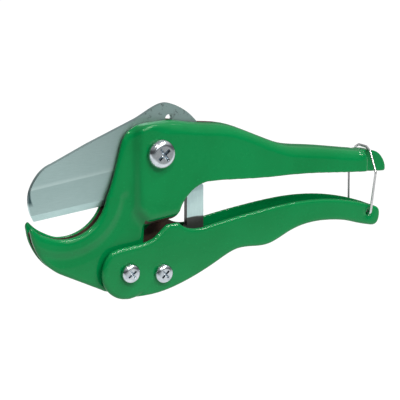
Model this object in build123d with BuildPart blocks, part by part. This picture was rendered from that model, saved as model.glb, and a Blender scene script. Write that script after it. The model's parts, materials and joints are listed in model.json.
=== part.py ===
from build123d import *
import math
import os

# Ratchet pipe cutter. Millimetres. X runs from the jaw to the handle ends, Z is up in the plane
# of the tool, Y is its thickness. The origin is the axis of the largest pipe the jaw holds,
# half way through the blade. Positive turns run from X towards Z, which closes the jaw.

SEAT_R = 21.5            # round seat of the jaw, for a pipe of 21 mm radius
SHEET = 2.0              # wall of the pressed handles
BODY_HALF = 8.2          # outside of the upper handle
JAW_HALF = 4.2           # outside of the hook jaw
SLOT_HALF = 1.8          # blade slot
BLADE_HALF = 1.3
LEVER_HALF = 8.6         # outside of the lower handle
NOSE_HALF = 4.2          # nose of the upper handle, under the wire latch
GAP = 0.3                # side play between pieces that move

BLADE_PIVOT = (47.5, 16.0)
HANDLE_PIVOT = (30.0, -41.2)
PAWL_PIVOT = (48.2, -44.1)
LATCH_PIVOT = (174.0, -29.5)
SPRING_PIN = (97.0, 4.5)

BLADE_SHANK_R = 4.0      # large pivot screw
SHANK_R = 2.5            # small pivot screws
FIT = 0.05               # running fit on a radius

TOOTH_TIP_R = 26.5
TOOTH_ROOT_R = 24.3
TOOTH_PITCH = 8.5        # degrees
TOOTH_COUNT = 9
FIRST_TOOTH = -76.0      # degrees, from X
SPRING_HOLE = (59.4, 26.4)
HUMP_HOLE = (55.8, 31.6)

SIDE = Plane.XZ          # its normal points to -Y, the near side

os.makedirs("parts", exist_ok=True)


def save(piece, label):
    piece.part.label = label
    export_step(piece.part, "parts/" + label + ".step")


def side_at(y):
    """The plane of the tool's side view, shifted to this y."""
    return Plane(origin=(0, y, 0), x_dir=(1, 0, 0), z_dir=(0, -1, 0))


def around(centre, r, degrees):
    a = math.radians(degrees)
    return (centre[0] + r * math.cos(a), centre[1] + r * math.sin(a))


def inset(points, t):
    """The same run of points, shifted by t to the left of its direction."""
    moved = []
    for n, (x, z) in enumerate(points):
        x0, z0 = points[max(n - 1, 0)]
        x1, z1 = points[min(n + 1, len(points) - 1)]
        run = math.hypot(x1 - x0, z1 - z0)
        moved.append((x - t * (z1 - z0) / run, z + t * (x1 - x0) / run))
    return moved


def ring(label, centre, r_out, r_in, y0, y1, edge=0.3):
    """A plain washer, spacer or bush between two values of y."""
    with BuildPart() as piece:
        with BuildSketch(side_at(y1)):
            with Locations(centre):
                Circle(r_out)
                Circle(r_in, mode=Mode.SUBTRACT)
        extrude(amount=y1 - y0)
        chamfer(piece.edges().filter_by(GeomType.CIRCLE).sort_by(SortBy.RADIUS)[-2:], edge)
    save(piece, label)


# ---------------------------------------------------------------- upper handle and hook jaw

TOP = [(44, 30.9), (55, 30.8), (66, 28.9), (79, 27.3), (86, 26.1), (98, 21.8), (111, 16.2)]
TOP += [(120, 12.8), (138, 9.8), (163, 5.8)]
BOTTOM_REAR = [(173.6, -6.8), (159, -5.6), (129, -3.2), (106, -2.6), (93, -1.8), (81, -1)]


def body_outline():
    """Outline of the wide part: the raised plate at the pivot, then the channel of the handle."""
    with BuildLine() as outline:
        Line((34.5, 21), (34, -11))
        Line((34, -11), (36.5, -16.8))
        ThreePointArc((36.5, -16.8), (38.5, -19), (41.5, -19.8))
        Line((41.5, -19.8), (55, -18.6))
        ThreePointArc((55, -18.6), (57.3, -17.6), (58.4, -15))
        ThreePointArc((58.4, -15), (65, -4.6), (74, -0.9))
        Line((74, -0.9), BOTTOM_REAR[-1])
        Spline(*BOTTOM_REAR)
        Line(BOTTOM_REAR[0], (173.5, -1))
        Spline(*TOP, tangents=[(1, 0), (1, -0.16)], tangent_scalars=[1, 1])
        Spline((163, 5.8), (173.5, -1), tangents=[(1, -0.16), (0, -1)])
        Spline((34.5, 21), (44, 30.9), tangents=[(0, 1), (1, 0)])
    return outline


def jaw_outline():
    """Outline of the narrow part: the hook, and the plates that reach up behind the slope."""
    r = SEAT_R
    with BuildLine() as outline:
        ThreePointArc(around((0, 0), r, -143), around((0, 0), r, -70), around((0, 0), r, -10))
        Spline(around((0, 0), r, -10), (25.2, 7), (27.8, 16.4), (29.4, 22))
        ThreePointArc((29.4, 22), (33.4, 27.6), (41, 30.4))
        Line((41, 30.4), (41, -19))
        Line((41, -19), (39.8, -38))
        ThreePointArc((39.8, -38), (38, -47.6), (29, -51))
        Line((29, -51), (24, -51.3))
        ThreePointArc((24, -51.3), (20.5, -51), (17, -49.4))
        Line((17, -49.4), (-3.6, -38.6))
        ThreePointArc((-3.6, -38.6), (-14.6, -27.8), (-18.5, -15.8))
        ThreePointArc((-18.5, -15.8), (-18.3, -13.6), around((0, 0), r, -143))
    return outline


def nose_outline():
    """Outline of the narrow nose the wire latch hooks over."""
    with BuildLine() as outline:
        Line((165, 4.6), (173, 4.6))
        Spline((173, 4.6), (177, 4), (181.6, 2.6), (185.4, -1), (187.3, -5), (187.6, -7))
        ThreePointArc((187.6, -7), (187.2, -8.1), (186, -8.4))
        Line((186, -8.4), (174, -7.4))
        Line((174, -7.4), (165, -4))
        Line((165, -4), (165, 4.6))
    return outline


def bevel(start, end):
    """What is cut off at 45 degrees along a line, down to the level of the jaw plates."""
    run = Vector(end[0] - start[0], 0, end[1] - start[1])
    outward = Vector(run.Z, 0, -run.X).normalized()
    origin = Vector(start[0], 0, start[1]) - run.normalized() * 8
    low = JAW_HALF + 0.1
    high = BODY_HALF + 2
    with BuildPart() as cut:
        for side in (1, -1):
            with BuildSketch(Plane(origin=origin, x_dir=outward, z_dir=run.normalized())):
                with BuildLine():
                    Polyline((0, side * low), (low - high, side * high), (9, side * high), (9, side * low))
                    Line((9, side * low), (0, side * low))
                make_face()
            extrude(amount=run.length + 16)
    return cut.part


def frame():
    slope_lines = [((34.2, 21), (33.8, -12)), ((33.8, -12), (40, -20)), ((40, -20), (59, -18.3))]
    with BuildPart() as wide:
        with BuildSketch(SIDE):
            add(body_outline())
            make_face()
        extrude(amount=BODY_HALF, both=True)
        for start, end in slope_lines:
            add(bevel(start, end), mode=Mode.SUBTRACT)
        rim = wide.edges().filter_by(lambda e: abs(abs(e.center().Y) - BODY_HALF) < 0.01)
        fillet(rim.filter_by(lambda e: e.center().Z > 1.5 and e.length > 8 and e.center().X > 45), 2.2)

    with BuildPart() as piece:
        add(wide.part)
        with BuildSketch(SIDE):
            add(nose_outline())
            make_face()
        extrude(amount=NOSE_HALF, both=True)
        with BuildSketch(SIDE):
            add(jaw_outline())
            make_face()
        extrude(amount=JAW_HALF, both=True)

        # hollow of the channel, open below
        roof = inset(TOP, -SHEET)
        with BuildSketch(SIDE):
            with BuildLine():
                Polyline((40, 28), (40, -12), (42.5, -14.4), (55.6, -14.4), (60.5, -10), (60.5, -30))
                Polyline((60.5, -30), (171.4, -30), (171.4, 0), (163, 3.8), roof[-1])
                Spline(*roof)
                Line(roof[0], (40, 28))
            make_face()
        extrude(amount=BODY_HALF - SHEET, both=True, mode=Mode.SUBTRACT)
        with BuildSketch(SIDE):
            with BuildLine():
                Polyline((164, -30), (185.4, -30), (185.4, -6))
                Polyline((185.4, -6), (180, 1.2), (173, 2.4), (164, 2.4), (164, -30))
            make_face()
        extrude(amount=NOSE_HALF - SHEET, both=True, mode=Mode.SUBTRACT)

        # blade slot: closed below by a web along the hook, and open above as far as the hump needs
        with BuildSketch(SIDE):
            with BuildLine():
                Polyline((-30, 60), (-30, -34), (-8, -34), (17.5, -46.6), (24, -48.8))
                Polyline((24, -48.8), (50, -48.8), (50, 0), (80.5, 20), (80.5, 60), (-30, 60))
            make_face()
        extrude(amount=SLOT_HALF, both=True, mode=Mode.SUBTRACT)

        # holes
        with BuildSketch(SIDE):
            with Locations(BLADE_PIVOT):
                Circle(BLADE_SHANK_R)
            with Locations(HANDLE_PIVOT):
                Circle(SHANK_R)
        extrude(amount=20, both=True, mode=Mode.SUBTRACT)
    save(piece, "frame")


# ---------------------------------------------------------------- lower handle

LEVER_BOTTOM = [(40, -54.6), (56, -52.2), (80.2, -42.7), (92, -38.1), (109.6, -38.3), (123, -33.3)]
LEVER_BOTTOM += [(140.4, -30.1), (160, -32.3), (176.2, -36.8)]
LEVER_TOP = [(71, -24.1), (92, -20.9), (108, -19.1), (128, -17.8), (152, -19.4), (168, -22.9), (179.5, -26.7)]


def lower_handle():
    floor = inset(LEVER_BOTTOM, SHEET)
    with BuildPart() as piece:
        with BuildSketch(SIDE):
            with BuildLine():
                Line((40, -54.6), (33, -54.6))
                ThreePointArc((33, -54.6), (15.8, -42.6), (21, -29.8))
                Spline((21, -29.8), (30, -28.4), (38.7, -27.5), (44, -25.8))
                ThreePointArc((44, -25.8), (47.4, -23), (51, -20))
                Line((51, -20), (57.8, -19.8))
                Spline((57.8, -19.8), (61, -22.4), (65, -23.8), (71, -24.1))
                Spline(*LEVER_TOP)
                ends = [(1, -0.45), (-1, 0.22)]
                Spline(LEVER_TOP[-1], (181.8, -31), LEVER_BOTTOM[-1], tangents=ends)
                Spline(*LEVER_BOTTOM, tangents=[(1, 0), (1, -0.22)])
            make_face()
        extrude(amount=LEVER_HALF, both=True)
        rim = piece.edges().filter_by(lambda e: abs(abs(e.center().Y) - LEVER_HALF) < 0.01)
        fillet(rim.filter_by(lambda e: e.length > 120 and e.center().Z < -34), 1.5)

        # hollow of the channel: open above, and open below in front of the web
        with BuildSketch(SIDE):
            with BuildLine():
                Polyline((0, 0), (0, -70), (34, -70), (34, -52.6), floor[0])
                Spline(*floor)
                Polyline(floor[-1], (178.8, -31.4), (178.8, 0), (0, 0))
            make_face()
        extrude(amount=LEVER_HALF - SHEET, both=True, mode=Mode.SUBTRACT)
        with BuildSketch(SIDE):
            with Locations(HANDLE_PIVOT):
                Circle(SHANK_R + FIT)
            with Locations(PAWL_PIVOT):
                Circle(SHANK_R)
            with Locations(LATCH_PIVOT):
                Circle(1.1)
        extrude(amount=20, both=True, mode=Mode.SUBTRACT)
    save(piece, "lower_handle")


# ---------------------------------------------------------------- blade


def blade():
    centre = BLADE_PIVOT
    teeth = []
    for n in range(TOOTH_COUNT):
        a = FIRST_TOOTH + n * TOOTH_PITCH
        teeth.append(around(centre, TOOTH_ROOT_R, a))
        teeth.append(around(centre, TOOTH_TIP_R, a))
    last = FIRST_TOOTH + (TOOTH_COUNT - 1) * TOOTH_PITCH
    corner = around(centre, 27.2, 26)
    with BuildPart() as piece:
        with BuildSketch(SIDE):
            with BuildLine():
                Line((-15.4, -11.6), (34, -7.05))
                ThreePointArc((34, -7.05), (43, -7.6), teeth[0])
                Polyline(*teeth)
                ThreePointArc(teeth[-1], around(centre, TOOTH_TIP_R, (last + 26) / 2), corner)
                Spline(corner, (66.1, 33.8), (60.6, 37.2), (54.5, 39.1), (48, 37.5), (36.9, 32.1))
                Line((36.9, 32.1), (12.6, 22.8))
                Line((12.6, 22.8), (-5.6, 15))
                Spline((-5.6, 15), (-11.6, 11.6), (-15, 7.4), (-17.4, 2.2), (-17.9, -2.4), (-15.4, -11.6))
            make_face()
            with Locations(HUMP_HOLE):
                Circle(1.9, mode=Mode.SUBTRACT)
            with Locations(SPRING_HOLE):
                Circle(1.1, mode=Mode.SUBTRACT)
            with Locations(centre):
                Circle(BLADE_SHANK_R + FIT, mode=Mode.SUBTRACT)
        extrude(amount=BLADE_HALF, both=True)

        # two flat grinds meet at the cutting edge, with a shallower one above
        for side in (1, -1):
            with BuildSketch(Plane(origin=(-27.35, 0, -12.7), x_dir=(0, 1, 0), z_dir=(1, 0, 0.0921))):
                with BuildLine():
                    Polyline((side * 0.08, -1), (side * 0.08, 0), (side * 0.75, 3.2))
                    Polyline((side * 0.75, 3.2), (side * 1.3, 17), (side * 3, 17))
                    Polyline((side * 3, 17), (side * 3, -1), (side * 0.08, -1))
                make_face()
            extrude(amount=55, mode=Mode.SUBTRACT)
    save(piece, "blade")


# ---------------------------------------------------------------- screws, nuts, spacers


def screw(label, centre, shank_r, head_r, head_h, y_head, y_end, cross):
    """Domed cross-recess screw. The head is on the near side, with its underside at y_head."""
    with BuildPart() as piece:
        with BuildSketch(side_at(y_end)):
            with Locations(centre):
                Circle(shank_r)
        extrude(amount=y_end - y_head)
        chamfer(piece.edges().filter_by(GeomType.CIRCLE).sort_by(Axis.Y)[-1:], shank_r * 0.15)
        with BuildSketch(side_at(y_head)):
            with Locations(centre):
                Circle(head_r)
        extrude(amount=head_h)
        outer = piece.edges().filter_by(GeomType.CIRCLE).sort_by(Axis.Y)[0:1]
        fillet(outer, head_h * 0.72)
        top = side_at(y_head - head_h)
        with BuildSketch(top):
            with Locations(centre):
                Rectangle(head_r * 1.02, head_r * 0.22, rotation=cross)
                Rectangle(head_r * 0.22, head_r * 1.02, rotation=cross)
        extrude(amount=-head_h * 0.6, taper=8, mode=Mode.SUBTRACT)
    save(piece, label)


def nut(label, centre, across_flats, thick, hole_r, y0):
    """Hexagon nut on the far side."""
    with BuildPart() as piece:
        with BuildSketch(side_at(y0 + thick)):
            with Locations(centre):
                RegularPolygon(across_flats / 2, 6, major_radius=False)
        extrude(amount=thick)
        with BuildSketch(side_at(y0 + thick)):
            with Locations(centre):
                Circle(across_flats / 2 * 1.04)
        extrude(amount=thick, mode=Mode.INTERSECT)
        with BuildSketch(side_at(y0 + thick)):
            with Locations(centre):
                Circle(hole_r)
        extrude(amount=thick, mode=Mode.SUBTRACT)
    save(piece, label)


def fasteners():
    lever = LEVER_HALF + GAP
    screw("blade_pivot_screw", BLADE_PIVOT, BLADE_SHANK_R, 7.15, 4.2, -BODY_HALF, 16.6, 38)
    ring("blade_pivot_washer", BLADE_PIVOT, 7.4, 4.0, BODY_HALF, BODY_HALF + 1.4)
    nut("blade_pivot_nut", BLADE_PIVOT, 13.0, 5.2, 4.0, BODY_HALF + 1.4)
    inner = BLADE_HALF + GAP
    ring("blade_spacer_near", BLADE_PIVOT, 7.4, 4.0, -(BODY_HALF - SHEET), -inner)
    ring("blade_spacer_far", BLADE_PIVOT, 7.4, 4.0, inner, BODY_HALF - SHEET)

    screw("handle_pivot_screw", HANDLE_PIVOT, SHANK_R, 4.8, 2.9, -lever, 15.2, 33)
    ring("handle_pivot_washer", HANDLE_PIVOT, 4.7, 2.5, lever, lever + 1.0, 0.2)
    nut("handle_pivot_nut", HANDLE_PIVOT, 8.0, 4.0, 2.5, lever + 1.0)
    inner = LEVER_HALF - SHEET - GAP
    ring("handle_spacer_near", HANDLE_PIVOT, 6.6, 2.5, -inner, -JAW_HALF)
    ring("handle_spacer_far", HANDLE_PIVOT, 6.6, 2.5, JAW_HALF, inner)
    ring("jaw_spacer", HANDLE_PIVOT, 6.2, 2.5, -SLOT_HALF, SLOT_HALF)

    screw("pawl_screw", PAWL_PIVOT, SHANK_R, 4.8, 2.9, -LEVER_HALF, 15.0, 41)
    ring("pawl_washer", PAWL_PIVOT, 4.7, 2.5, LEVER_HALF, LEVER_HALF + 1.0, 0.2)
    nut("pawl_nut", PAWL_PIVOT, 8.0, 4.0, 2.5, LEVER_HALF + 1.0)


# ---------------------------------------------------------------- pawl and springs

PAWL_HALF = 1.5
BUSH_R = 3.6


def pawl():
    x, z = PAWL_PIVOT
    nose = around(BLADE_PIVOT, TOOTH_TIP_R + 0.4, -38)
    with BuildPart() as piece:
        with BuildSketch(SIDE):
            with BuildLine():
                Polyline((x - 2, z + 5.1), (65.6, -24), (65.8, -6), nose, (72, -0.9), (75.1, -4))
                Polyline((75.1, -4), (75.1, -27), (68.6, -36), (x + 3, z - 4.6), (x - 2, z + 5.1))
            make_face()
            with Locations(PAWL_PIVOT):
                Circle(5.5)
            with Locations(PAWL_PIVOT):
                Circle(BUSH_R + FIT, mode=Mode.SUBTRACT)
        extrude(amount=PAWL_HALF, both=True)
        upright = piece.edges().filter_by(Axis.Y)
        fillet(upright.filter_by(lambda e: e.center().Z < -20 and e.center().X > 60), 2)
    save(piece, "pawl")


def pawl_bush():
    """Sleeve the pawl turns on, with a thick collar on the far side."""
    inner = LEVER_HALF - SHEET
    with BuildPart() as piece:
        with BuildSketch(side_at(inner)):
            with Locations(PAWL_PIVOT):
                Circle(BUSH_R)
        extrude(amount=2 * inner)
        with BuildSketch(side_at(inner)):
            with Locations(PAWL_PIVOT):
                Circle(5.4)
        extrude(amount=inner - PAWL_HALF - GAP)
        with BuildSketch(side_at(inner)):
            with Locations(PAWL_PIVOT):
                Circle(SHANK_R)
        extrude(amount=2 * inner, mode=Mode.SUBTRACT)
    save(piece, "pawl_bush")


def bent_wire(label, radius, before, coil, after):
    """A spring of round wire: a bent leg, a coil and another bent leg, in one sweep."""
    with BuildPart() as piece:
        with BuildLine() as path:
            FilletPolyline(*before, radius=0.6)
            add(coil)
            FilletPolyline(*after, radius=0.6)
        run = path.wire()
        with BuildSketch(Plane(origin=run @ 0, z_dir=run % 0)):
            Circle(radius)
        sweep(path=run)
    save(piece, label)


def pawl_spring():
    """Torsion spring on the bush: one leg hooks under the pawl's arm, one rests on the floor."""
    x, z = PAWL_PIVOT
    start = Plane(origin=(x, -2.3, z), x_dir=(0.6, 0, -0.8), z_dir=(0, -1, 0))
    coil = start.from_local_coords(Helix(0.95, 3.8, 4.5, lefthand=True))
    a, b = coil @ 0, coil @ 1
    hook = Vector(x + 14.7, a.Y, z + 3.2)
    foot = b + (coil % 1) * 4.6
    before = [hook + Vector(0, 4, 0), hook, a - (coil % 0) * 2.2, a]
    bent_wire("pawl_spring", 0.4, before, coil, [b, foot, foot + Vector(0, 2.2, 0)])


def return_spring():
    """Tension spring that opens the blade, from the blade's tang to the pin in the handle."""
    hole = Vector(SPRING_HOLE[0], 0, SPRING_HOLE[1])
    pin = Vector(SPRING_PIN[0], 0, SPRING_PIN[1])
    along = (pin - hole).normalized()
    first = hole + along * 20
    length = (pin - hole).length - 26
    start = Plane(origin=first, x_dir=(0, 1, 0), z_dir=along)
    coil = start.from_local_coords(Helix(1.05, length, 2.6))
    a, b = coil @ 0, coil @ 1
    side = Vector(0, 2.1, 0)
    before = [hole + Vector(0, -2.4, 0), hole + side, a - (coil % 0) * 1.6 - along * 1.4, a]
    near = pin - along * 1.98
    after = [b, b + (coil % 1) * 1.5, near + side, near + Vector(0, -3, 0)]
    bent_wire("return_spring", 0.45, before, coil, after)


def spring_pin():
    """Pin between the walls of the upper handle that holds the rear end of the return spring."""
    inner = BODY_HALF - SHEET
    with BuildPart() as piece:
        with BuildSketch(side_at(inner)):
            with Locations(SPRING_PIN):
                Circle(1.5)
        extrude(amount=2 * inner)
    save(piece, "spring_pin")


def wire_latch():
    """Bent spring wire: its two ends sit in the lower handle, its arch lies over the nose."""
    x, z = LATCH_PIVOT
    half = [(x, -5.4, z), (x, -9.9, z), (175, -12, -6.6), (174.9, -6.4, 4.2), (174.8, -3.3, 6)]
    points = half + [(px, -py, pz) for px, py, pz in reversed(half)]
    with BuildPart() as piece:
        with BuildLine():
            FilletPolyline(*points, radius=1.4)
        with BuildSketch(Plane(origin=points[0], z_dir=(0, -1, 0))):
            Circle(0.7)
        sweep()
    save(piece, "wire_latch")


frame()
lower_handle()
blade()
fasteners()
pawl()
pawl_bush()
pawl_spring()
return_spring()
spring_pin()
wire_latch()
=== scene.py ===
import bisect
import json
import math

import bpy
import bmesh
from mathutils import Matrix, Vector
from mathutils.kdtree import KDTree


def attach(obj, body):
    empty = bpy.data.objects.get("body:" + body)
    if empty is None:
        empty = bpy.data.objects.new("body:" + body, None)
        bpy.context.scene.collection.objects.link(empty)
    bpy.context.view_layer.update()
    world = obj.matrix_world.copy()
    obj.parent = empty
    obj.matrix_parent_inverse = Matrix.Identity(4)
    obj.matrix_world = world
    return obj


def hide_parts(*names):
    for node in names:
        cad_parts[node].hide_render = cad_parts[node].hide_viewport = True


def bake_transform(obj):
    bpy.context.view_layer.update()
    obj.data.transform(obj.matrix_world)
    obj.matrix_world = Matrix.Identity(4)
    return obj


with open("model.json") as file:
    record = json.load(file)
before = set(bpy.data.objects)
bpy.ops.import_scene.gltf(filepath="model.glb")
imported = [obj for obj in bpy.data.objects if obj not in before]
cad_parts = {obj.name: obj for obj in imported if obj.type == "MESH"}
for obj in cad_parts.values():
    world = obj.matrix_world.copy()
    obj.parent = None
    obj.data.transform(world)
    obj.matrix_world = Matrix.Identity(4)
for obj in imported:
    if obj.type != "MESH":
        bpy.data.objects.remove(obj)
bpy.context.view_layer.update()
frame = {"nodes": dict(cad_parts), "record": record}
MM = 0.001

# sizes of the CAD parts that the shapes below start from, in mm
SEAT_R = 21.5
SLOT_HALF = 1.8
JAW_HALF = 4.2
BODY_HALF = 8.2
LEVER_HALF = 8.6

# the hook's thickness after shaping, from its middle, in mm
LIP = 3.3  # at the free edges
BEAD = 1.4  # rise from the lip to the bead round the seat
DISH = 0.75  # fall from the bead to the face behind it
BELLY = 0.25  # rise again farther from the seat

# the line where the blade's ground face starts, in metres: z = GRIND_START + GRIND_SLOPE * x
GRIND_START = 0.0048
GRIND_SLOPE = 0.118


# ------------------------------------------------------------------ node helpers


def new_material(name):
    mat = bpy.data.materials.new(name)
    mat.use_nodes = True
    nodes = mat.node_tree.nodes
    nodes.clear()
    out = nodes.new("ShaderNodeOutputMaterial")
    shader = nodes.new("ShaderNodeBsdfPrincipled")
    mat.node_tree.links.new(shader.outputs[0], out.inputs[0])
    return mat, shader


def coords(mat, scale=(1, 1, 1), turn=(0, 0, 0)):
    """Object coordinates in metres, scaled and turned."""
    nodes, links = mat.node_tree.nodes, mat.node_tree.links
    where = nodes.new("ShaderNodeTexCoord")
    mapping = nodes.new("ShaderNodeMapping")
    mapping.inputs["Scale"].default_value = scale
    mapping.inputs["Rotation"].default_value = turn
    links.new(where.outputs["Object"], mapping.inputs[0])
    return mapping.outputs[0]


def noise(mat, vector, scale, detail=3.0, rough=0.5):
    tex = mat.node_tree.nodes.new("ShaderNodeTexNoise")
    tex.inputs["Scale"].default_value = scale
    tex.inputs["Detail"].default_value = detail
    tex.inputs["Roughness"].default_value = rough
    mat.node_tree.links.new(vector, tex.inputs["Vector"])
    return tex.outputs[0]


def split(mat, vector):
    """The x, y and z of a vector."""
    node = mat.node_tree.nodes.new("ShaderNodeSeparateXYZ")
    mat.node_tree.links.new(vector, node.inputs[0])
    return node.outputs[0], node.outputs[1], node.outputs[2]


def ramp(mat, value, stops):
    """stops are (position, colour or grey)."""
    node = mat.node_tree.nodes.new("ShaderNodeValToRGB")
    row = node.color_ramp.elements
    while len(row) < len(stops):
        row.new(0.5)
    for element, (position, colour) in zip(row, stops):
        element.position = position
        grey = isinstance(colour, (int, float))
        element.color = (colour, colour, colour, 1) if grey else (*colour, 1)
    mat.node_tree.links.new(value, node.inputs[0])
    return node.outputs[0]


def maths(mat, what, a, b):
    node = mat.node_tree.nodes.new("ShaderNodeMath")
    node.operation = what
    for socket, value in zip(node.inputs, (a, b)):
        if isinstance(value, (int, float)):
            socket.default_value = value
        else:
            mat.node_tree.links.new(value, socket)
    return node.outputs[0]


def plus(mat, a, b):
    return maths(mat, "ADD", a, b)


def times(mat, a, b):
    return maths(mat, "MULTIPLY", a, b)


def mix(mat, factor, a, b):
    node = mat.node_tree.nodes.new("ShaderNodeMix")
    node.data_type = "RGBA"
    sockets = (node.inputs[0], node.inputs[6], node.inputs[7])
    for socket, value in zip(sockets, (factor, a, b)):
        if isinstance(value, (int, float)):
            socket.default_value = value
        elif isinstance(value, tuple):
            socket.default_value = (*value, 1)
        else:
            mat.node_tree.links.new(value, socket)
    return node.outputs[2]


def bump(mat, shader, heights):
    """heights are (value, strength, distance in mm)."""
    nodes, links = mat.node_tree.nodes, mat.node_tree.links
    last = None
    for value, strength, distance in heights:
        node = nodes.new("ShaderNodeBump")
        node.inputs["Strength"].default_value = strength
        node.inputs["Distance"].default_value = distance * MM
        links.new(value, node.inputs["Height"])
        if last:
            links.new(last, node.inputs["Normal"])
        last = node.outputs[0]
    links.new(last, shader.inputs["Normal"])


# ------------------------------------------------------------------ materials


def green_paint():
    """Thick glossy enamel over pressed steel: orange peel, faint mottling, dust nibs and rubs."""
    mat, shader = new_material("green_enamel")
    links = mat.node_tree.links
    at = coords(mat)
    cloud = noise(mat, at, 35, 4)
    colour = ramp(mat, cloud, [(0.3, (0.0, 0.150, 0.038)), (0.7, (0.0, 0.178, 0.048))])
    speck = ramp(mat, noise(mat, at, 900, 2), [(0.66, 0.0), (0.72, 1.0)])
    colour = mix(mat, times(mat, speck, 0.2), colour, (0.01, 0.30, 0.09))
    along = coords(mat, (1, 1, 2.5), (0, 0.5, 0))
    rub = ramp(mat, noise(mat, along, 150, 5, 0.7), [(0.68, 0.0), (0.76, 1.0)])
    colour = mix(mat, times(mat, rub, 0.2), colour, (0.03, 0.28, 0.08))
    links.new(colour, shader.inputs["Base Color"])
    smear = noise(mat, at, 60, 5, 0.6)
    links.new(ramp(mat, smear, [(0.3, 0.24), (0.75, 0.38)]), shader.inputs["Roughness"])
    shader.inputs["Specular IOR Level"].default_value = 0.12
    shader.inputs["Specular Tint"].default_value = (0.15, 0.9, 0.4, 1)
    shader.inputs["Coat Weight"].default_value = 0.45
    shader.inputs["Coat Roughness"].default_value = 0.05
    peel = noise(mat, at, 420, 2)
    sag = noise(mat, at, 70, 2)
    bump(mat, shader, [(sag, 0.22, 0.5), (peel, 0.10, 0.12)])
    return mat


def painted_slot_shade():
    """The inside of the blade slot and the gaps between the plates: painted shade, near black and mottled
    dark brown.
    """
    mat, shader = new_material("slot_painted_shade")
    links = mat.node_tree.links
    cloud = noise(mat, coords(mat), 120, 5, 0.65)
    colour = ramp(mat, cloud, [(0.35, (0.020, 0.012, 0.008)), (0.7, (0.075, 0.036, 0.022))])
    links.new(colour, shader.inputs["Base Color"])
    links.new(ramp(mat, cloud, [(0.3, 0.45), (0.7, 0.8)]), shader.inputs["Roughness"])
    bump(mat, shader, [(cloud, 0.3, 0.2)])
    return mat


def steel(name, base, dark, rough, streak=(1, 1, 1), turn=(0, 0, 0), scale=500, relief=0.12):
    """Bare steel with fine grinding marks along one direction, cloudy polish and small scratches."""
    mat, shader = new_material(name)
    links = mat.node_tree.links
    fine = noise(mat, coords(mat, streak, turn), scale, 3, 0.6)
    cloud = noise(mat, coords(mat), 45, 4, 0.55)
    mixed = plus(mat, times(mat, fine, 0.5), times(mat, cloud, 0.5))
    links.new(ramp(mat, mixed, [(0.32, dark), (0.62, base)]), shader.inputs["Base Color"])
    shader.inputs["Metallic"].default_value = 1.0
    low, high = rough
    links.new(ramp(mat, mixed, [(0.3, high), (0.7, low)]), shader.inputs["Roughness"])
    slant = coords(mat, (1, 1, 14), (0, 0.6, 0))
    scratch = ramp(mat, noise(mat, slant, 160, 2), [(0.70, 0.0), (0.74, 1.0)])
    bump(mat, shader, [(fine, relief, 0.05), (scratch, 0.10, 0.03)])
    return mat


def blade_steel():
    """Cold rolled plate, ground from a line above the edge; painted shade darkens it towards its tail,
    grease stains it round the hump, and a painted reflection darkens its rounded end.
    """
    mat, shader = new_material("blade_plate")
    links = mat.node_tree.links
    at = coords(mat)
    x, _, z = split(mat, at)
    fine = noise(mat, coords(mat, (1, 1, 18), (0, 0.11, 0)), 240, 4, 0.65)
    cloud = noise(mat, at, 28, 5, 0.6)
    mixed = plus(mat, times(mat, fine, 0.4), times(mat, cloud, 0.6))
    colour = ramp(mat, mixed, [(0.34, (0.40, 0.565, 0.56)), (0.64, (0.55, 0.735, 0.73))])

    # ground face below the line, darker partly for its grinding and partly as painted shade for the
    # bevel's tilt, with a painted highlight along the line
    above = maths(mat, "SUBTRACT", z, times(mat, x, GRIND_SLOPE))
    above = times(mat, maths(mat, "SUBTRACT", above, GRIND_START), 100)
    ground_finish_and_shade = ramp(mat, above, [(0.05, 1.0), (0.12, 0.0)])
    colour = mix(mat, times(mat, ground_finish_and_shade, 0.30), colour, (0.29, 0.42, 0.41))
    crease_highlight = ramp(mat, above, [(0.06, 0.0), (0.10, 1.0), (0.12, 1.0), (0.30, 0.0)])
    colour = mix(mat, times(mat, crease_highlight, 0.3), colour, (0.80, 0.95, 0.94))

    # painted shade darkens the tail, and grease spots lie round the hump
    backward = times(mat, plus(mat, x, times(mat, z, 0.6)), 12)
    tail_shade = ramp(mat, backward, [(0.05, 0.0), (0.75, 1.0)])
    colour = mix(mat, times(mat, tail_shade, 0.58), colour, (0.25, 0.36, 0.345))
    spots = ramp(mat, noise(mat, at, 330, 4, 0.75), [(0.56, 0.0), (0.66, 1.0)])
    hump = ramp(mat, times(mat, z, 25), [(0.72, 0.0), (0.86, 1.0)])
    spots = times(mat, spots, hump)
    colour = mix(mat, times(mat, spots, 0.8), colour, (0.10, 0.12, 0.115))

    # painted reflection: a dark crescent on the rounded end, where its bevelled facet would reflect the
    # dark surroundings
    height = maths(mat, "SUBTRACT", z, 0.002)
    bow = plus(mat, x, times(mat, times(mat, height, height), -38))
    reflection_crescent = ramp(mat, times(mat, plus(mat, bow, 0.02), 100), [(0.27, 1.0), (0.33, 0.0)])
    level = times(mat, plus(mat, z, 0.006), 50)
    middle = ramp(mat, level, [(0.08, 0.0), (0.20, 1.0), (0.58, 1.0), (0.68, 0.0)])
    painted_reflection = times(mat, reflection_crescent, middle)
    colour = mix(mat, times(mat, painted_reflection, 0.92), colour, (0.030, 0.075, 0.085))

    links.new(colour, shader.inputs["Base Color"])
    shader.inputs["Metallic"].default_value = 1.0
    links.new(ramp(mat, mixed, [(0.3, 0.44), (0.7, 0.30)]), shader.inputs["Roughness"])
    slant = coords(mat, (1, 1, 12), (0, 0.9, 0))
    scratch = ramp(mat, noise(mat, slant, 120, 2), [(0.70, 0.0), (0.73, 1.0)])
    grain = [(fine, 0.10, 0.05), (cloud, 0.06, 0.3), (scratch, 0.08, 0.03), (spots, 0.15, 0.05)]
    bump(mat, shader, grain)
    return mat


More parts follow.
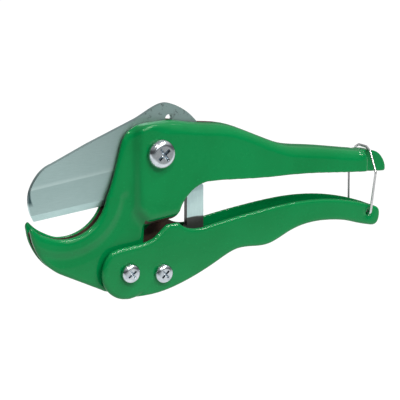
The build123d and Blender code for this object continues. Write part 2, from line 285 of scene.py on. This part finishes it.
def pawl_steel():
    """Blanked plate: pale ground faces, painted shade on its edge faces and a painted shadow of the near
    wall across its foot.
    """
    mat, shader = new_material("pawl_plate")
    nodes, links = mat.node_tree.nodes, mat.node_tree.links
    at = coords(mat)
    fine = noise(mat, coords(mat, (14, 1, 1)), 160, 3, 0.6)
    cloud = noise(mat, at, 60, 4, 0.55)
    mixed = plus(mat, times(mat, fine, 0.5), times(mat, cloud, 0.5))
    colour = ramp(mat, mixed, [(0.34, (0.48, 0.66, 0.68)), (0.64, (0.59, 0.80, 0.81))])
    # painted shade on the edge faces, picked out by their normals
    across = split(mat, nodes.new("ShaderNodeTexCoord").outputs["Normal"])[1]
    edge = ramp(mat, maths(mat, "ABSOLUTE", across, 0.0), [(0.75, 1.0), (0.95, 0.0)])
    # painted shadow of the near wall across the foot
    ragged = plus(mat, times(mat, split(mat, at)[2], -25), times(mat, cloud, 0.06))
    foot_shadow = ramp(mat, ragged, [(0.520, 0.0), (0.535, 1.0)])
    edge_and_foot_shade = maths(mat, "MAXIMUM", edge, foot_shadow)
    colour = mix(mat, times(mat, edge_and_foot_shade, 0.95), colour, (0.035, 0.030, 0.028))
    links.new(colour, shader.inputs["Base Color"])
    shader.inputs["Metallic"].default_value = 0.6
    links.new(ramp(mat, mixed, [(0.3, 0.44), (0.7, 0.28)]), shader.inputs["Roughness"])
    bump(mat, shader, [(fine, 0.10, 0.05), (cloud, 0.06, 0.2)])
    return mat


PAINT = green_paint()
SLOT_SHADE = painted_slot_shade()
zinc = steel("zinc_plate", (0.62, 0.67, 0.71), (0.34, 0.40, 0.45), (0.12, 0.26), scale=380, relief=0.05)
turned = steel("turned_steel", (0.55, 0.55, 0.54), (0.33, 0.33, 0.33), (0.30, 0.5), (1, 10, 1), scale=300)
wire_grey, wire_dark = (0.72, 0.72, 0.73), (0.45, 0.46, 0.48)
wire = steel("spring_wire", wire_grey, wire_dark, (0.18, 0.34), (1, 1, 6), scale=420, relief=0.06)

finishes = {
    "green_paint": PAINT,
    "blade_steel": blade_steel(),
    "zinc": zinc,
    "pawl_steel": pawl_steel(),
    "plain_steel": turned,
    "spring_wire": wire,
}
for part in frame["record"]["subparts"]:
    node = frame["nodes"][part["node"]]
    node.data.materials.clear()
    node.data.materials.append(finishes[part["material_slot"]])


# ------------------------------------------------------------------ pressed shells


def copy_of(node, name):
    """A new object with a copy of a CAD node's mesh, in the same place."""
    source = frame["nodes"][node]
    piece = bpy.data.objects.new(name, source.data.copy())
    bpy.context.scene.collection.objects.link(piece)
    piece.matrix_world = source.matrix_world.copy()
    return piece


def baked_mesh(piece):
    """The modifiers of a piece become its mesh."""
    depsgraph = bpy.context.evaluated_depsgraph_get()
    mesh = bpy.data.meshes.new_from_object(piece.evaluated_get(depsgraph))
    piece.modifiers.clear()
    piece.data = mesh


def plate_rim(node, half):
    """Points along the square edge of the flat plates whose outer faces lie half mm from the middle."""
    level = half * MM
    source = frame["nodes"][node]
    bm = bmesh.new()
    bm.from_mesh(source.data)
    bm.transform(source.matrix_world)
    bmesh.ops.remove_doubles(bm, verts=bm.verts, dist=1e-6)
    bm.normal_update()
    spacing = 0.3 * MM
    found = []
    for edge in bm.edges:
        a, b = (v.co for v in edge.verts)
        on_face = all(abs(abs(v.y) - level) < 0.01 * MM for v in (a, b))
        if not on_face or len(edge.link_faces) != 2:
            continue
        lean = sorted(abs(face.normal.y) for face in edge.link_faces)
        if lean[0] > 0.3 or lean[1] < 0.95:
            continue
        count = max(1, int((b - a).length / spacing))
        found += [a.lerp(b, (n + 0.5) / count) for n in range(count)]
    bm.free()
    tree = KDTree(len(found))
    for n, point in enumerate(found):
        tree.insert((point.x, 0, point.z), n)
    tree.balance()
    return tree


def pressed_shell(node, voxel, shape, dark):
    """A soft-edged copy of a pressed part, which rides the body of the same name."""
    piece = copy_of(node, node + "_shell")
    remesh = piece.modifiers.new("remesh", "REMESH")
    remesh.mode = "VOXEL"
    remesh.voxel_size = voxel * MM
    baked_mesh(piece)
    place, back_again = piece.matrix_world.copy(), piece.matrix_world.inverted()
    for vert in piece.data.vertices:
        vert.co = back_again @ shape(place @ vert.co)

    # the raised step is relaxed more than the rest
    soft = piece.vertex_groups.new(name="soft")
    for vert in piece.data.vertices:
        weight = step_weight(place @ vert.co) if node == "frame" else 0
        if weight > 0:
            soft.add([vert.index], weight, "REPLACE")
    relax = piece.modifiers.new("relax", "SMOOTH")
    relax.factor = 0.5
    relax.iterations = RELAX
    if node == "frame":
        more = piece.modifiers.new("more", "SMOOTH")
        more.factor = 0.5
        more.iterations = int(RELAX * 14 * (FINE_VOXEL / voxel) ** 2)
        more.vertex_group = "soft"
    baked_mesh(piece)
    mesh = piece.data
    mesh.materials.clear()
    mesh.materials.append(PAINT)
    mesh.materials.append(SLOT_SHADE)
    # faces that the last argument picks out get the painted shade material
    for face in mesh.polygons:
        face.use_smooth = True
        face.material_index = 1 if dark(place @ face.center) else 0
    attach(piece, node)
    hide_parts(node)


def ease(t):
    t = min(max(t, 0.0), 1.0)
    return t * t * (3 - 2 * t)


def quarter(t):
    """0 at the edge, rising to 1 like a quarter of an ellipse."""
    t = min(max(t, 0.0), 1.0)
    return math.sqrt(1 - (1 - t) ** 2)


def in_mm(co):
    """x, distance from the middle plane and z of a point, in mm."""
    return co.x / MM, abs(co.y) / MM, co.z / MM


def moved(co, y, z):
    """The point with another distance from the middle plane and another height, in mm."""
    return Vector((co.x, math.copysign(y * MM, co.y), z * MM))


def rim_distance(rim, co):
    return rim.find((co.x, 0, co.z))[2] / MM


def step_weight(co):
    """Where the raised plate steps down to the hook and the slope."""
    x, y, z = in_mm(co)
    if y < 3.2 or x > 64:
        return 0
    inner_corner = math.hypot(x - 41, z + 19.5)
    return ease((64 - x) / 12) * ease((x - 27) / 5) * ease((z + 30) / 6) * ease(inner_corner / 3)


def crest_line(node):
    """Height of the back of a node above each 2 mm along X, as (x, z) pairs in mm."""
    source = frame["nodes"][node]
    highest = {}
    for vert in source.data.vertices:
        at = source.matrix_world @ vert.co
        column = round(at.x / MM / 2) * 2
        highest[column] = max(highest.get(column, -1), at.z / MM)
    return sorted(highest.items())


frame_rim = plate_rim("frame", JAW_HALF)
lever_rim = plate_rim("lower_handle", LEVER_HALF)
crest = crest_line("frame")


def crest_at(x):
    """Height of the upper handle's back at x, between the two nearest columns."""
    after = min(max(bisect.bisect(crest, (x, 0)), 1), len(crest) - 1)
    (x0, z0), (x1, z1) = crest[after - 1], crest[after]
    return z0 + (z1 - z0) * min(max((x - x0) / (x1 - x0), 0), 1)


def crowned(co):
    """The back of the upper handle is rounded across, and leans into the side walls."""
    x, y, z = in_mm(co)
    if z < 0.5:
        return co
    near_top = (1 - ease((crest_at(x) - z) / 6)) * ease((x - 42) / 14) * (1 - ease((x - 166) / 6))
    z += near_top * (0.35 - 1.1 * (y / BODY_HALF) ** 2)
    return moved(co, y * (1 - 0.17 * near_top), z)


def hook_half(x, z, r, d):
    """Half thickness of the hook at r from the seat's centre and d from the edge of its plate."""
    round_seat = r < 27 or x > 22
    if round_seat and z > -32 and x < 36:
        gap = max(r - SEAT_R, 0) if z < -3 else d
        half = LIP + BEAD * quarter(gap / 5.5)
        half -= DISH * ease((gap - 5.5) / 4)
        half += BELLY * ease((gap - 10) / 4)
        return min(half, LIP + BEAD * quarter(d / 2.5))
    half = LIP + 0.1 + (BEAD - 0.1) * quarter(d / 2.2)
    half -= DISH * ease((r - 27) / 4)
    half += BELLY * ease((r - 31.5) / 4)
    return half


def frame_shape(co):
    """The hook's plates are dished: a thin lip at the slot swells into a bead round the seat."""
    x, y, z = in_mm(co)
    if x > 42:
        return crowned(co)
    if not SLOT_HALF + 0.1 <= y <= JAW_HALF + 0.05:
        return co
    r = math.hypot(x, z)
    half = hook_half(x, z, r, rim_distance(frame_rim, co))
    y = SLOT_HALF + (y - SLOT_HALF) * (half - SLOT_HALF) / (JAW_HALF - SLOT_HALF)

    # towards the tip the far lip thickens and the near one is cut lower
    behind_lip = r - SEAT_R + 0.1
    if z < -10 and co.y > 0:
        z += 0.9 * ease((-x - 2) / 9) * (1 - ease(behind_lip / 4))
    elif z < -10:
        z -= 1.1 * ease((-x - 9) / 7) * (1 - ease(behind_lip / 5))
    return moved(co, y, z)


def lever_shape(co):
    """The free edges of the side walls are rolled inwards, over more of their height on the grip."""
    x, y, z = in_mm(co)
    if co.y > 6 * MM:
        # the far ear stands a little higher behind the gap under the raised plate
        z += 2.2 * ease((x - 36) / 4) * ease((52 - x) / 5) * ease((z + 32) / 5)
    wall_inside = LEVER_HALF - 2
    if y > wall_inside + 0.3:
        reach = 3.4 if x > 72 else 2.2
        roll = 1 - quarter(rim_distance(lever_rim, co) / reach)
        y -= 1.5 * roll * (y - wall_inside) / 2
    return moved(co, y, z)


def frame_inside(co):
    """Whether a point of the frame is in the blade's slot or between the raised plates, where the painted
    shade goes.
    """
    x, y, z = in_mm(co)
    lip = 2.5 if z > -17 and x < -5 else 0.5
    slot = y < SLOT_HALF + 0.25 and x < 82 and rim_distance(frame_rim, co) > lip
    return slot or (40 < x < 60 and y < 6.4 and -19 < z < 28)


def lever_inside(co):
    """Whether a point of the lower handle is between its ears, where the painted shade goes."""
    x, y, _ = in_mm(co)
    return x < 64 and y < 6.8 and rim_distance(lever_rim, co) > 0.8


RELAX = 6
FINE_VOXEL = 0.45
voxel = FINE_VOXEL
pressed_shell("frame", voxel, frame_shape, frame_inside)
pressed_shell("lower_handle", voxel, lever_shape, lever_inside)


# ------------------------------------------------------------------ soft edges on the bare steel


def soften(node, width):
    edge = frame["nodes"][node].modifiers.new("edge", "BEVEL")
    edge.width = width * MM
    edge.segments = 2
    edge.limit_method = "ANGLE"
    edge.angle_limit = math.radians(30)
    edge.harden_normals = False


soften("blade", 0.12)
soften("pawl", 0.3)


# ------------------------------------------------------------------ return spring

def stretched_spring():
    """A copy of the return spring with its placement baked into the mesh, in place of the hidden CAD
    node.
    """
    piece = copy_of("return_spring", "return_spring_wire")
    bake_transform(piece)
    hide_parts("return_spring")


stretched_spring()


# ------------------------------------------------------------------ stage, light and camera

AIM = Vector((0.074, 0, -0.012))
FLOOR = -0.126  # below the reach of the opened handle
FLOOR_SIZE = 6
CAMERA_LENS = 108
CAMERA_DISTANCE = 0.604
CAMERA_AZIMUTH = math.radians(-29.5)
CAMERA_ELEVATION = math.radians(14)


def white_floor():
    """A self-lit white floor, grey in front of the tool so that the flat sides don't reflect white."""
    mat, shader = new_material("pale_floor")
    shader.inputs["Base Color"].default_value = (0.05, 0.05, 0.05, 1)
    shader.inputs["Roughness"].default_value = 0.9
    shader.inputs["Emission Strength"].default_value = 1.0
    depth = plus(mat, split(mat, coords(mat))[1], 0.5)
    glow = ramp(mat, depth, [(0.13, 0.33), (0.30, 1.0)])  # grey at y = -0.37 m, white from y = -0.20 m
    mat.node_tree.links.new(glow, shader.inputs["Emission Color"])

    mesh = bpy.data.meshes.new("floor")
    bm = bmesh.new()
    bmesh.ops.create_grid(bm, x_segments=1, y_segments=1, size=FLOOR_SIZE)
    bm.to_mesh(mesh)
    bm.free()
    mesh.materials.append(mat)
    floor = bpy.data.objects.new("floor", mesh)
    floor.location = (0, 0, FLOOR)
    bpy.context.scene.collection.objects.link(floor)


def studio_world():
    """Dim at the horizon and white overhead, brighter on the handle's side than on the jaw's."""
    world = bpy.data.worlds.new("studio")
    world.use_nodes = True
    sky = world.node_tree
    direction = sky.nodes.new("ShaderNodeTexCoord")
    parts = sky.nodes.new("ShaderNodeSeparateXYZ")
    sky.links.new(direction.outputs["Generated"], parts.inputs[0])
    dome = sky.nodes.new("ShaderNodeValToRGB")
    horizon, zenith = dome.color_ramp.elements
    horizon.position = 0.28
    horizon.color = (0.18, 0.185, 0.19, 1)
    zenith.position = 0.62
    zenith.color = (1, 1, 1, 1)
    sky.links.new(parts.outputs[2], dome.inputs[0])
    level = sky.nodes.new("ShaderNodeMapRange")
    level.inputs["From Min"].default_value = -1
    level.inputs["To Min"].default_value = 0.35
    level.inputs["To Max"].default_value = 0.85
    sky.links.new(parts.outputs[0], level.inputs["Value"])
    sky.links.new(dome.outputs[0], sky.nodes["Background"].inputs[0])
    sky.links.new(level.outputs[0], sky.nodes["Background"].inputs[1])
    bpy.context.scene.world = world


def area(name, place, size, power, colour=(1, 1, 1)):
    """A rectangular light, aimed at the tool."""
    data = bpy.data.lights.new(name, "AREA")
    data.shape = "RECTANGLE"
    data.size, data.size_y = size
    data.energy = power
    data.color = colour
    lamp = bpy.data.objects.new(name, data)
    lamp.location = place
    lamp.rotation_euler = (AIM - Vector(place)).to_track_quat("-Z", "Y").to_euler()
    bpy.context.scene.collection.objects.link(lamp)


def place_camera():
    data = bpy.data.cameras.new("camera")
    data.sensor_width = 36
    data.lens = CAMERA_LENS
    data.clip_start = 0.01
    data.clip_end = 30
    camera = bpy.data.objects.new("camera", data)
    back = Vector((
        math.sin(CAMERA_AZIMUTH) * math.cos(CAMERA_ELEVATION),
        -math.cos(CAMERA_AZIMUTH) * math.cos(CAMERA_ELEVATION),
        math.sin(CAMERA_ELEVATION),
    ))
    camera.location = AIM + back * CAMERA_DISTANCE
    camera.rotation_euler = (-back).to_track_quat("-Z", "Y").to_euler()
    bpy.context.scene.collection.objects.link(camera)
    bpy.context.scene.camera = camera


white_floor()
studio_world()
area("key", (-0.32, -0.8, 0.98), (0.16, 0.16), 6.5, (1, 0.92, 0.78))
area("strip", (0.35, -0.9, 0.75), (0.6, 0.05), 6.5, (1, 0.95, 0.85))
area("front", (0.25, -1.35, 0.55), (0.8, 0.6), 3.5)
area("overhead", (0.43, -0.40, 0.83), (0.55, 0.05), 4.0)
place_camera()
bpy.context.scene.view_settings.view_transform = "Standard"
